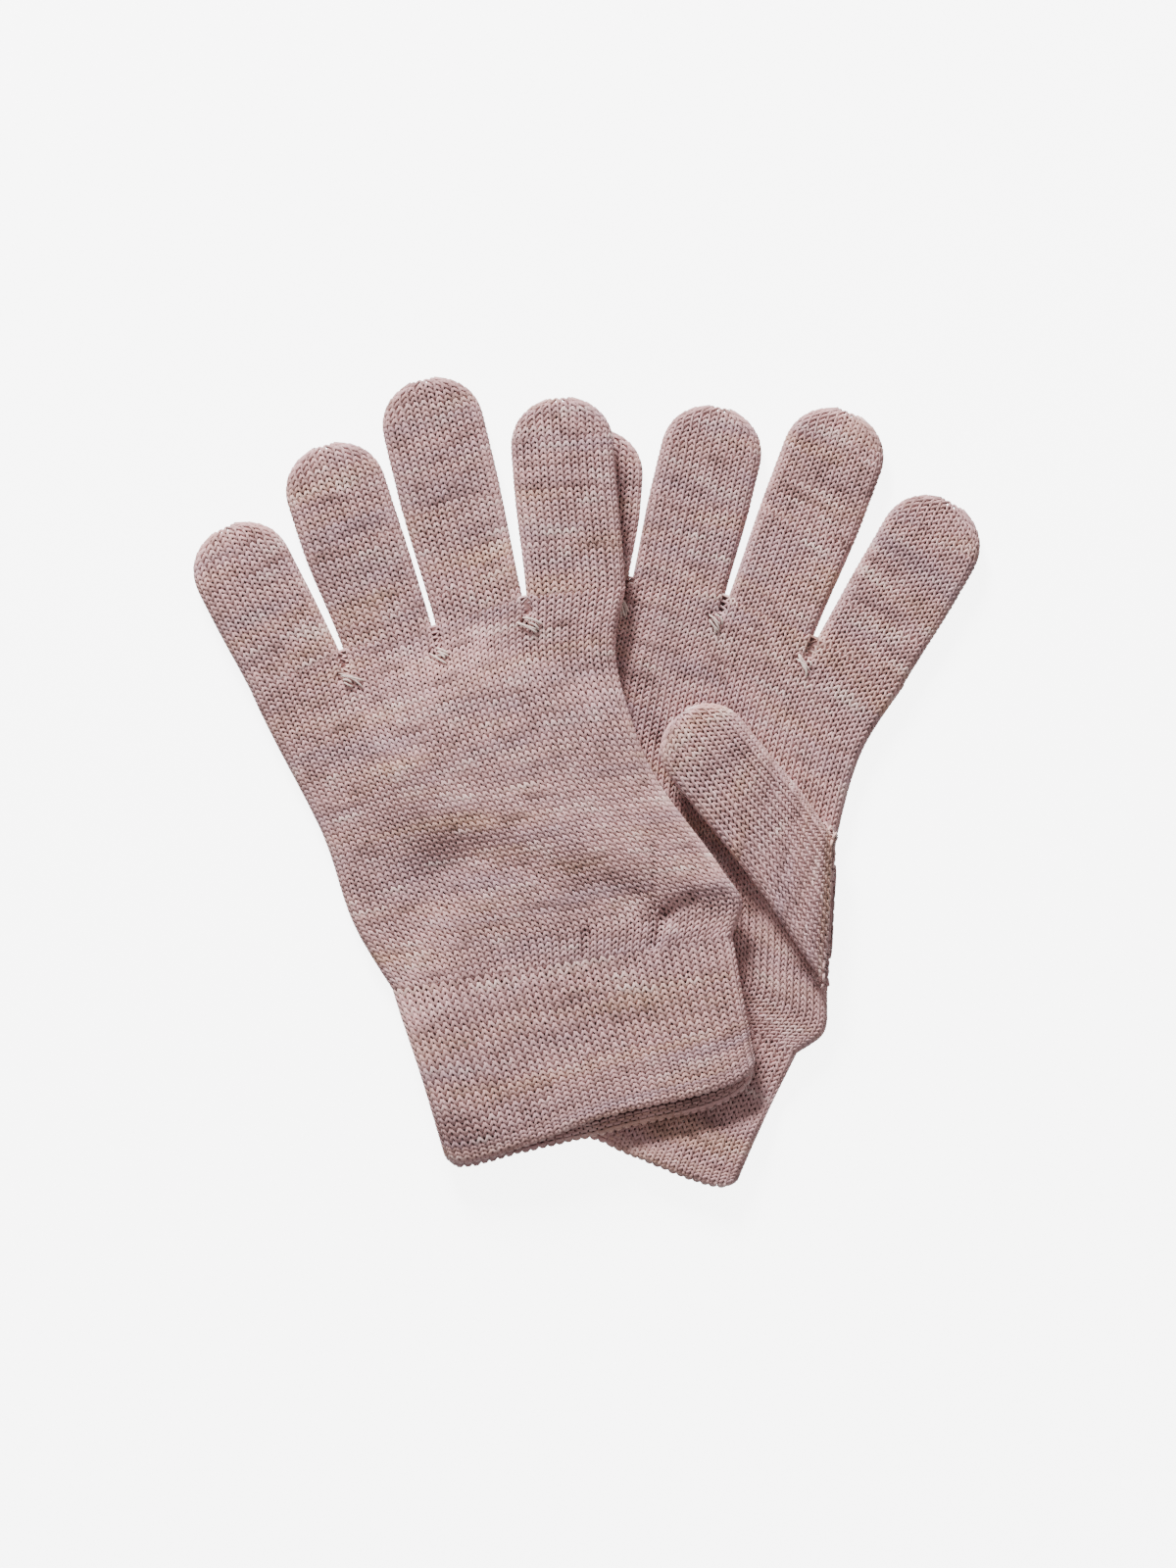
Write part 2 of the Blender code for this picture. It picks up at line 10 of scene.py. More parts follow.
import bpy
import numpy as np
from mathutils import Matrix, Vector


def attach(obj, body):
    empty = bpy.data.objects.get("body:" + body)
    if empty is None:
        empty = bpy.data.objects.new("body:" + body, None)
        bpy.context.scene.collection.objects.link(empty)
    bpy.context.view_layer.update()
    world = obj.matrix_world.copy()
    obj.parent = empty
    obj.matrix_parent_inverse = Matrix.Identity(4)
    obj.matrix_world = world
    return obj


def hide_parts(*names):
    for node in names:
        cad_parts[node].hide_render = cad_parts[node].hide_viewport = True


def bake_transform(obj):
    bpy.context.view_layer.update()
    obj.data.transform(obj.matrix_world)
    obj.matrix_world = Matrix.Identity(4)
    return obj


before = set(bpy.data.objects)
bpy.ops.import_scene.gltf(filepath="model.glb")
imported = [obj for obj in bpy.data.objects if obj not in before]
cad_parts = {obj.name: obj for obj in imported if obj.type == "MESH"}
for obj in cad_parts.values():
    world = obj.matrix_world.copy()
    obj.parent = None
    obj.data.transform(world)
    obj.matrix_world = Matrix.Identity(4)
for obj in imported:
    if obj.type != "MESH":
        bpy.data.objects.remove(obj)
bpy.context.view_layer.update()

METRES = 0.001
FINGERS = ("little", "ring", "middle", "index")

# How thick the layers are and how high they lie. A "run" is the distance over which
# such a value changes.
GLOVE_THICKNESS = 5.6
UNEVENNESS = 0.25
THUMB_UNEVENNESS = 0.2
CUFF_EXTRA_THICKNESS = 0.6
CUFF_EXTRA_RUN = 9.0
PRESSED_LOSS = 2.5
FRONT_BASE = 4.4
REAR_THUMB_BASE = 5.9
FRONT_THUMB_BASE = 3.85
FRONT_THUMB_THICKNESS = 2.8
OVER_THUMB_BASE = 6.95
THUMB_PRESSED_LOSS = 1.2
DRAPE_RUN = 22.0
OVER_THUMB_RUN = 24.0
DRAPE_SHARPNESS = 6
PRESS_MARGIN = 2.0
PRESS_RUN = 8.0

# Widths and lengths of the pattern, whose middle is the mouth of the cuff: across to
# the thumb, then up to the fingertips.
CUFF_HALF_WIDTH = 40.7
MOUTH = ((-CUFF_HALF_WIDTH - 1.2, 0.0), (CUFF_HALF_WIDTH + 0.6, 0.0))
WRIST = ((-44.0, 48.0), (43.4, 39.2))
THUMB_FOLD = ((44.6, 57.0), (32.8, 94.0))
GUSSET_START = (47.9, 46.9)
GUSSET_END = (0.8, -1.0)
LEFT_PLACES = (0.0, 0.2, 0.5, 1.0)
RIGHT_PLACES = (0.0, 0.1, 0.2, 0.6, 0.8, 1.0)
MOUTH_RUN = 22.0
MOUTH_CORNER = 3.4
LOWER_PEEK = {"rear": 0.5, "front": 4.0}
THUMB_SPLAY = -60.5
THUMB_LENGTH = 63.5
THUMB_HALF_WIDTH = 12.0
THUMB_SHIFT = 1.6
THUMB_WRAP = 9.0
FOLD_PRESS = 2.6
FOLD_RUN = 7.0
HIDDEN_THUMB_INSET = 5.0
REAR_THUMB_INSET = 1.0
WRAP_BULGE = 0.8
WRAP_TUCK = 4.2
SLIT_WIDTH = 0.5
FINGER_HALF_WIDTH = {"little": 12.1, "ring": 12.2, "middle": 12.3, "index": 12.4}
FINGER_FULLNESS = 0.95
LEAN_RUN = 32.0
THUMB_SHIFT_RUN = 25.0
ROUNDEST = 0.9
TIP_MARGIN = 0.2
TIP_THICKNESS = 0.06

# The crease that runs down from each slit, and the pit beside its darn.
SLIT_CREASE = {"length": 7.0, "fade": 4.0, "depth": 1.7, "width": 0.8}
DARN_PIT = {"place": (2.0, 6.2), "depth": 0.8, "spread": 1.3}

# The knitting: a course's height, the yarn's width, and how far its loops rise, lean
# outwards at the top, and sink between two wales.
STITCHES = {
    "plain": {"course": 1.46, "yarn": 0.72, "rise": 1.08, "lean": 0.29, "groove": 0.10},
    "rib": {"course": 1.66, "yarn": 0.78, "rise": 1.32, "lean": 0.32, "groove": 0.22},
    "welt": {"yarn": 0.84, "rise": 0.85, "lean": 0.28, "groove": 0.15},
    "rim": {"yarn": 1.05, "rise": 0.30, "lean": 0.12, "groove": 0.10},
}
# The welt's courses, which turn in at the mouth: stitch, place from the mouth, depth.
WELT = (
    ("welt", 2.5, 0.0), ("welt", 1.45, 0.0), ("welt", 0.45, 0.0),
    ("rim", -0.45, 0.1), ("rim", -0.6, 0.9), ("welt", 0.4, 1.5), ("welt", 1.4, 1.7),
)
RIB_START = 2.9
HAND_WALES = 100
CUFF_WALES = 80
WALE_WIDTH = 2.03
LOOP_STEPS = np.radians([27.0, 62.0, 118.0, 153.0, 207.0, 242.0, 298.0, 333.0])
YARN_SIDES = 5
TUBE_SIDES = 8
LEAST_LOOPS = 6
LINER_LOOPS = 28
LINER_DEPTH = 1.3
HIDDEN_LINER_DEPTH = 1.1
RIB_LINER_DEPTH = 1.6
HEM_LINER_DEPTH = 0.9
LINER_TIP_MARGIN = 1.4
BEND_LENGTH = 12.0
THUMB_BEND_START = 0.3
THUMB_BEND_END = 6.0
THREAD_PLACES = (0.3, 0.65)
THREAD_STEPS = 240
THREAD_WAVES = 40
THREAD_RADIUS = 0.18
THREAD_DEPTH = 1.15
DARN_STRANDS = 5
DARN_SPACING = 0.55
DARN_DROP = 7.5
DARN_TURN = -40.0
SEEDS = {"rear": 100, "front": 200}

# The studio, in metres. The floor shines, so that it looks white beside the wool.
FLOOR_GLOW = 6.0
FLOOR_HALF = 3.0
WORLD_STRENGTH = 0.5
KEY_PLACE = (-0.52, 1.75, 0.82)
KEY_SIZE = 0.5
KEY_POWER = 120.0
CAMERA_HEIGHT = 2.0
CAMERA_FIELD = 0.4
SENSOR_WIDTH = 36.0

# Colours, as display values that linear() turns into linear light.
ROSE = (194, 150, 148)
MAUVE = (170, 138, 146)
TAN = (204, 160, 136)
PALE = (212, 188, 180)
BROWN = (142, 103, 101)
ELASTIC_GREY = (214, 206, 200)
FLOOR_WHITE = (246, 246, 246)

# How fibres are mixed into the rose yarn: colour, share by tint, patch and grain, share
# at the mean, most.
FIBRES = (
    (MAUVE, -0.24, 0.0, 0.14, 0.0, 0.7),
    (TAN, 0.24, 0.0, -0.1, -0.1, 0.7),
    (PALE, 0.0, 0.24, 0.1, -0.16, 0.6),
    (BROWN, 0.0, -0.26, -0.12, -0.14, 0.6),
)


class Glove:
    """The flat pattern of one glove: first across to the thumb, then to the tips."""

    def __init__(self, name, origin, tilt, roots, splays, tips, leans, mouth_rise,
                 edge_left, edge_right):
        self.name = name
        angle = math.radians(tilt)
        self.origin = np.array(origin)
        self.along = np.array((-math.sin(angle), math.cos(angle)))
        self.across = np.array((math.cos(angle), math.sin(angle)))
        self.wrist = np.array(WRIST)
        self.mouth = np.array(MOUTH)
        self.fold = np.array(THUMB_FOLD)
        self.roots = np.array(roots)
        self.splays = splays
        self.tips = tips
        self.leans = leans
        self.mouth_rise = mouth_rise
        self.corner_drop = 1.0 if name == "rear" else 0.0
        self.left_places = np.array(LEFT_PLACES)
        self.left_points = np.array(
            (self.wrist[0], edge_left[0], edge_left[1], self.roots[0]))
        self.right_places = np.array(RIGHT_PLACES)
        self.right_points = np.array(
            (self.wrist[1], GUSSET_START, self.fold[0] + GUSSET_END,
             self.fold[1], edge_right, self.roots[-1]))

    def world(self, pattern):
        """World positions of points of the pattern, given as rows of two."""
        return (self.origin + pattern[..., :1] * self.across
                + pattern[..., 1:2] * self.along)


FRONT = Glove(
    name="front",
    origin=(4.8, -87.6),
    tilt=14.7,
    roots=((-59.9, 130.0), (-34.5, 134.5), (-10.2, 134.5), (14.0, 136.0), (40.0, 132.0)),
    splays=(-11.2, -3.0, 1.1, 10.8),
    tips=(173.0, 186.8, 196.6, 182.9),
    leans=(-0.6, -1.0, -0.2, -0.9),
    mouth_rise=(3.8, 0.9),
    edge_left=((-49.2, 66.0), (-51.6, 91.0)),
    edge_right=(33.0, 115.0),
)
REAR = Glove(
    name="rear",
    origin=(-1.45, -89.35),
    tilt=-21.4,
    roots=((-61.8, 128.0), (-40.3, 136.5), (-15.8, 141.0), (9.0, 139.3), (34.9, 136.5)),
    splays=(-19.0, -7.8, -0.7, 8.3),
    tips=(168.6, 185.7, 196.5, 184.6),
    leans=(0.9, 0.0, 0.3, 0.4),
    mouth_rise=(1.4, 0.2),
    edge_left=((-48.0, 65.0), (-51.9, 91.0)),
    edge_right=(31.0, 115.0),
)


# ---------------------------------------------------------------- small maths

def smoothstep(value):
    """Rises from 0 to 1 as value goes from 0 to 1, with level ends."""
    value = np.clip(value, 0.0, 1.0)
    return value * value * (3.0 - 2.0 * value)


def mix(low, high, share):
    """A blend of two rows of points by an array of shares."""
    return low + (high - low) * np.asarray(share)[..., None]


def smooth_chain(places, points, wanted):
    """A smooth line through points, read at the wanted places."""
    slopes = np.gradient(points, places, axis=0)
    index = np.clip(np.searchsorted(places, wanted) - 1, 0, len(places) - 2)
    span = places[index + 1] - places[index]
    share = (wanted - places[index]) / span
    square, cube = share ** 2, share ** 3
    weights = (
        2 * cube - 3 * square + 1,
        (cube - 2 * square + share) * span,
        3 * square - 2 * cube,
        (cube - square) * span,
    )
    values = (points[index], slopes[index], points[index + 1], slopes[index + 1])
    return sum(weight[..., None] * value for weight, value in zip(weights, values))


def inside_distance(points, polygon):
    """Distance to a polygon's outline: positive inside, negative outside."""
    nearest = np.full(points.shape[:-1], np.inf)
    inside = np.zeros(points.shape[:-1], bool)
    for start, end in zip(polygon, np.roll(polygon, -1, axis=0)):
        side = end - start
        offset = points - start
        place = np.clip(offset @ side / (side @ side), 0.0, 1.0)
        gap = offset - place[..., None] * side
        nearest = np.minimum(nearest, np.hypot(gap[..., 0], gap[..., 1]))
        if start[1] != end[1]:
            crosses = (start[1] > points[..., 1]) != (end[1] > points[..., 1])
            at = start[0] + (points[..., 1] - start[1]) * side[0] / side[1]
            inside ^= crosses & (points[..., 0] < at)
    return np.where(inside, nearest, -nearest)


def digit_axes(splay):
    """A digit's direction and the direction across it, in the pattern."""
    angle = math.radians(splay)
    axis = np.array((math.sin(angle), math.cos(angle)))
    side = np.array((math.cos(angle), -math.sin(angle)))
    return axis, side


def cloud(rows, columns, row_reach, column_reach, rng):
    """Smooth noise with unit spread over a grid that wraps round."""
    grid = np.fft.fft2(rng.normal(size=(rows, columns)))
    row_wave = np.fft.fftfreq(rows)[:, None] * row_reach
    column_wave = np.fft.fftfreq(columns)[None, :] * column_reach
    grid *= np.exp(-2.0 * math.pi ** 2 * (row_wave ** 2 + column_wave ** 2))
    grid = np.real(np.fft.ifft2(grid))
    return grid / max(grid.std(), 1e-9)


def linear(colour):
    """A display colour as linear light."""
    share = np.array(colour) / 255.0
    return np.where(share <= 0.04045, share / 12.92, ((share + 0.055) / 1.055) ** 2.4)


# ------------------------------------------------------- how the gloves lie

def rear_support():
    """The outline of what holds the front glove up, left open to the right."""
    little_tip = REAR.roots[0] + (-14.6, 60.0)
    pattern = np.array((
        (-42.0, -3.5), (-43.5, 48.0), (-53.0, 92.0), REAR.roots[0] - (1.0, 0.0),
        little_tip, (80.0, 230.0), (80.0, -1.0)))
    return REAR.world(pattern)


def front_footprint():
    """The outline of the front glove, closed straight across its left side."""
    pattern = np.array((
        FRONT.mouth[0], FRONT.mouth[1], FRONT.wrist[1], (46.5, 48.5), FRONT.fold[0],
        FRONT.fold[1], (33.0, 115.0), FRONT.roots[4], FRONT.roots[4] + (6.0, 52.0),
        FRONT.roots[3] + (6.0, 52.0), FRONT.roots[2], FRONT.roots[0]))
    return FRONT.world(pattern)


def front_thumb_footprint():
    """The outline of the thumb that lies hidden under the front glove."""
    axis, side = digit_axes(THUMB_SPLAY)
    middle = FRONT.fold.mean(axis=0)
    half = (FRONT.fold[1] - FRONT.fold[0]) @ side / 2.0 + 2.0
    reach = THUMB_LENGTH
    pattern = np.array((
        middle - side * half - axis * 18.0,
        middle + side * half + axis * 16.0,
        middle + side * half + axis * (reach - 9.0),
        middle + side * (half - 9.0) + axis * reach,
        middle - side * (half - 9.0) + axis * reach,
        middle - side * half + axis * (reach - 9.0)))
    return FRONT.world(pattern)


# Gathers at the front glove's wrist: start, end, depth (a ridge if below 0), width.
CREASES = (
    ((16.6, -41.0), (19.4, -33.0), 0.9, 1.5),
    ((19.4, -33.0), (26.5, -29.6), 0.9, 1.7),
    ((20.5, -27.5), (33.0, -25.0), -0.7, 3.0),
    ((-1.5, -43.5), (-0.5, -38.0), 0.5, 1.4),
    ((17.2, -16.0), (16.6, -38.0), 0.35, 0.9),
)

REAR_SUPPORT = rear_support()
FRONT_FOOTPRINT = front_footprint()
FRONT_THUMB_FOOTPRINT = front_thumb_footprint()


def ripple(flat, phase):
    """The slow unevenness of soft fabric, from -1 to 1."""
    x, y = flat[..., 0], flat[..., 1]
    return (np.sin(x / 7.3 + phase) + np.sin(y / 9.1 + x / 16.0 + 2.0 * phase)
            + np.sin((x + y) / 5.9 + 0.7 + phase)) / 3.0


def crease_depth(flat):
    """How deep the gathers at the front glove's wrist are."""
    depth = np.zeros(len(flat))
    for start, end, deep, width in CREASES:
        start, side = np.array(start), np.subtract(end, start)
        place = np.clip((flat - start) @ side / (side @ side), 0.0, 1.0)
        gap = flat - start - place[:, None] * side
        depth += deep * np.exp(-(gap ** 2).sum(axis=1) / width ** 2)
    return depth


def rear_layer(flat):
    """Base height and thickness of the rear glove, pressed flat where covered."""
    outside = -inside_distance(flat, FRONT_FOOTPRINT)
    pressed = 1.0 - smoothstep((outside - PRESS_MARGIN) / PRESS_RUN)
    full = GLOVE_THICKNESS - UNEVENNESS + UNEVENNESS * ripple(flat, 0.4)
    return np.zeros(len(flat)), full - PRESSED_LOSS * pressed


def front_layer(flat):
    """Base height and thickness of the front glove, draped over what it covers."""
    off_rear = -inside_distance(flat, REAR_SUPPORT)
    off_thumb = -inside_distance(flat, FRONT_THUMB_FOOTPRINT)
    on_thumb = 1.0 - smoothstep(off_thumb / OVER_THUMB_RUN)
    over_rear = FRONT_BASE * (1.0 - smoothstep(off_rear / DRAPE_RUN))
    over_thumb = OVER_THUMB_BASE * on_thumb
    power = DRAPE_SHARPNESS
    base = (over_rear ** power + over_thumb ** power) ** (1.0 / power)
    full = GLOVE_THICKNESS - UNEVENNESS + UNEVENNESS * ripple(flat, 1.9)
    full = full - crease_depth(flat)
    return base, full - THUMB_PRESSED_LOSS * on_thumb


def rear_thumb_layer(flat):
    """The rear thumb lies folded on the rear palm."""
    uneven = THUMB_UNEVENNESS * ripple(flat, 3.0)
    thickness = GLOVE_THICKNESS - THUMB_UNEVENNESS + uneven
    return np.full(len(flat), REAR_THUMB_BASE), thickness


def front_thumb_layer(flat):
    """The front thumb lies folded flat between the two palms."""
    return np.full(len(flat), FRONT_THUMB_BASE), np.full(len(flat), FRONT_THUMB_THICKNESS)


LAYERS = {"front": front_layer, "rear": rear_layer}
THUMB_LAYERS = {"front": front_thumb_layer, "rear": rear_thumb_layer}


# ---------------------------------------------------------- the zones' skins

def flat_ring(turn, half_width):
    """A flattened ring: place across and rise, by turns round from the top middle."""
    half = np.minimum(GLOVE_THICKNESS / 2.0, half_width * ROUNDEST)
    straight = half_width - half
    length = 4.0 * straight + 2.0 * math.pi * half
    way = np.mod(turn, 1.0) * length
    mirrored = way > length / 2.0
    way = np.where(mirrored, length - way, way)
    angle = np.clip((way - straight) / half, 0.0, math.pi)
    past = np.maximum(way - straight - math.pi * half, 0.0)
    place = np.minimum(way, straight) + half * np.sin(angle) - past
    return np.where(mirrored, -place, place), np.cos(angle)


def ring_length(half_width):
    """The length round a flattened ring."""
    half = min(GLOVE_THICKNESS / 2.0, half_width * ROUNDEST)
    return 4.0 * (half_width - half) + 2.0 * math.pi * half


def place_skin(glove, layer, pattern, rise, extra=0.0):
    """World points on a skin, from -1 on its underside to 1 on its top."""
    flat = glove.world(pattern)
    base, thickness = layer(flat)
    height = base + (thickness + extra) * (rise + 1.0) / 2.0
    return np.column_stack((flat, height))


def root_line(glove, across):
    """Points on the line of finger roots, each finger taking a quarter."""
    scaled = np.clip(across, 0.0, 1.0) * len(FINGERS)
    index = np.minimum(scaled.astype(int), len(FINGERS) - 1)
    return mix(glove.roots[index], glove.roots[index + 1], scaled - index)


def hand_pattern(glove, across, up):
    """The hand's flat pattern, from the wrist (up 0) to the roots (up 1)."""
    low = mix(glove.wrist[0], glove.wrist[1], across)
    high = root_line(glove, across)
    left = smooth_chain(glove.left_places, glove.left_points, up)
    right = smooth_chain(glove.right_places, glove.right_points, up)
    corners = mix(low, mix(glove.roots[0], glove.roots[-1], across), up)
    return mix(low, high, up) + mix(left, right, across) - corners


def hand_length(glove):
    """The hand's length up its middle."""
    return glove.roots[2][1] - glove.wrist[:, 1].mean()


def hand_skin(glove):
    """The hand's outer skin, by turns round and millimetres from the wrist."""
    length = hand_length(glove)

    def skin(turn, way):
        up = np.clip(way / length, 0.0, 1.0)
        left = smooth_chain(glove.left_places, glove.left_points, up)
        right = smooth_chain(glove.right_places, glove.right_points, up)
        half_width = np.hypot(*(right - left).T) / 2.0
        place, rise = flat_ring(turn, half_width)
        pattern = hand_pattern(glove, (place / half_width + 1.0) / 2.0, up)
        pattern[:, 0] += 0.3 * np.sin(pattern[:, 1] / 8.0 + pattern[:, 0] / 19.0)
        pattern[:, 1] += way - up * length
        points = place_skin(glove, LAYERS[glove.name], pattern, rise)
        points[:, 2] -= slit_crease(glove, pattern) * rise
        return points

    return skin


def slit_crease(glove, pattern):
    """The depth of the crease below each slit, and of the pit beside its darn."""
    depth = np.zeros(len(pattern))
    for slit in range(1, len(FINGERS)):
        offset = pattern - glove.roots[slit]
        below = smoothstep((offset[:, 1] + SLIT_CREASE["length"]) / SLIT_CREASE["fade"])
        across = np.exp(-(offset[:, 0] / SLIT_CREASE["width"]) ** 2)
        depth += SLIT_CREASE["depth"] * across * below
        beside = offset + DARN_PIT["place"]
        depth += DARN_PIT["depth"] * np.exp(-(beside ** 2).sum(axis=1) / DARN_PIT["spread"])
    return depth


def cuff_length(glove):
    """The cuff's length at its middle."""
    return glove.wrist[:, 1].mean()


def cuff_skin(glove):
    """The cuff's outer skin, by turns round and millimetres from the mouth."""
    length = cuff_length(glove)
    lower_peek = LOWER_PEEK[glove.name]

    def skin(turn, way):
        up = way / length
        ends = glove.mouth + (glove.wrist - glove.mouth) * up[:, None, None]
        half_width = np.hypot(*(ends[:, 1] - ends[:, 0]).T) / 2.0
        place, rise = flat_ring(turn, half_width)
        across = (place / half_width + 1.0) / 2.0
        pattern = ends[:, 0] + (ends[:, 1] - ends[:, 0]) * across[:, None]
        near_mouth = 1.0 - smoothstep(way / MOUTH_RUN)
        share = place / half_width
        corner = MOUTH_CORNER * np.abs(share) ** 11
        lower = lower_peek * smoothstep((share + 0.7) / 0.7) * (1.0 - np.abs(share) ** 8)
        middle_rise, full_from = glove.mouth_rise
        lifted = middle_rise * smoothstep((share + 1.0) / full_from)
        lifted = lifted * (1.0 - glove.corner_drop * np.maximum(share, 0.0) ** 5)
        pattern[:, 1] += near_mouth * (lifted + corner - lower * (1.0 - rise) / 2.0)
        pattern[:, 1] += 0.35 * np.sin(pattern[:, 0] / 6.5 + 1.0) * near_mouth
        pattern[:, 0] += 0.25 * np.sin(pattern[:, 1] / 7.0 + pattern[:, 0] / 23.0)
        extra = CUFF_EXTRA_THICKNESS * smoothstep((length - way) / CUFF_EXTRA_RUN)
        return place_skin(glove, LAYERS[glove.name], pattern, rise, extra)

    return skin


def digit_width(way, root_half, widest, shoulder, length):
    """A digit's half width at a distance from its root."""
    spread = smoothstep((way + 3.0) / (shoulder * 0.8))
    tube = root_half + (widest - root_half) * spread
    into_tip = np.clip((way - shoulder) / (length - shoulder), 0.0, 0.97)
    return tube * np.sqrt(1.0 - into_tip ** 2.3)


def tip_thinning(into_tip):
    """How a digit grows thin from its shoulder (0) to the end of its tip (1)."""
    return (1.0 - into_tip ** 4) ** 0.5 * (1.0 - TIP_THICKNESS) + TIP_THICKNESS


def finger_skin(glove, index):
    """A finger's outer skin, by turns round and millimetres from the root."""
    axis, side = digit_axes(glove.splays[index])
    start, end = glove.roots[index], glove.roots[index + 1]
    middle = (start + end) / 2.0
    root_half = (end - start) @ side / 2.0 - SLIT_WIDTH / 2.0
    slant = (end - start) @ axis / 2.0
    length = (glove.tips[index] - middle[1]) / axis[1] + TIP_MARGIN
    widest = FINGER_HALF_WIDTH[FINGERS[index]] + FINGER_FULLNESS
    shoulder = length - widest
    layer = LAYERS[glove.name]

    def width(way):
        return digit_width(way, root_half, widest, shoulder, length)

    def skin(turn, way):
        half_width = width(way)
        place, rise = flat_ring(turn, half_width)
        straight = np.clip(1.0 - way / shoulder, 0.0, 1.0)
        reach = np.minimum(way, length - TIP_MARGIN)
        reach = reach + slant * (place / root_half) * straight
        place = place + glove.leans[index] * smoothstep(way / LEAN_RUN)
        pattern = middle + place[:, None] * side + reach[:, None] * axis
        into_tip = np.clip((way - shoulder) / (length - shoulder), 0.0, 1.0)
        return place_skin(glove, layer, pattern, rise * tip_thinning(into_tip))

    return skin, width, length, (middle, axis)


def thumb_skin(glove):
    """A thumb's outer skin; before its root it wraps round the hand's edge."""
    axis, side = digit_axes(THUMB_SPLAY)
    inset = REAR_THUMB_INSET if glove is REAR else HIDDEN_THUMB_INSET
    middle = glove.fold.mean(axis=0) + axis * inset
    root_half = (glove.fold[1] - glove.fold[0]) @ side / 2.0 - SLIT_WIDTH / 2.0
    slant = (glove.fold[1] - glove.fold[0]) @ axis / 2.0
    shoulder = THUMB_LENGTH - THUMB_HALF_WIDTH
    layer = THUMB_LAYERS[glove.name]
    on_top = glove is REAR
    press = FOLD_PRESS if on_top else 0.0
    outer_from = REAR_THUMB_BASE + GLOVE_THICKNESS - press if on_top else FRONT_THUMB_BASE
    outer_to = 2.4 if on_top else OVER_THUMB_BASE + 1.0
    crease = REAR_THUMB_BASE - 0.1 if on_top else OVER_THUMB_BASE - 0.2
    outer_sign = 1.0 if on_top else -1.0

    def width(way):
        return digit_width(way, root_half, THUMB_HALF_WIDTH, shoulder, THUMB_LENGTH)

    def skin(turn, way):
        half_width = width(np.maximum(way, 0.0))
        place, rise = flat_ring(turn, half_width)
        ahead = np.clip(way, 0.0, THUMB_LENGTH - TIP_MARGIN)
        straight = np.clip(1.0 - ahead / shoulder, 0.0, 1.0)
        reach = ahead + slant * (place / root_half) * straight
        wrap = np.clip(-way / THUMB_WRAP, 0.0, 1.0)
        outer = (outer_sign * rise + 1.0) / 2.0
        ends = np.abs(place / half_width) ** 3
        bulge = WRAP_BULGE * np.sin(wrap * math.pi) * outer * (1.0 - ends)
        inner_tuck = 0.4 * (1.0 - outer) * (1.0 - ends)
        tuck = smoothstep(wrap * 2.5) * (WRAP_TUCK * ends - inner_tuck)
        reach = reach - bulge + tuck
        place = place + THUMB_SHIFT * smoothstep(way / THUMB_SHIFT_RUN)
        pattern = middle + place[:, None] * side + reach[:, None] * axis
        into_tip = np.clip((way - shoulder) / THUMB_HALF_WIDTH, 0.0, 1.0)
        points = place_skin(glove, layer, pattern, rise * tip_thinning(into_tip))
        points[:, 2] -= press * outer * np.clip(1.0 - way / FOLD_RUN, 0.0, 1.0) ** 2
        turned = outer_from + (outer_to - outer_from) * wrap
        wrapped = outer * turned + (1.0 - outer) * crease
        points[:, 2] += (wrapped - points[:, 2]) * smoothstep(wrap * 6.0)
        return points

    return skin, width, (middle, axis)


# ------------------------------------------------------------------ the yarn

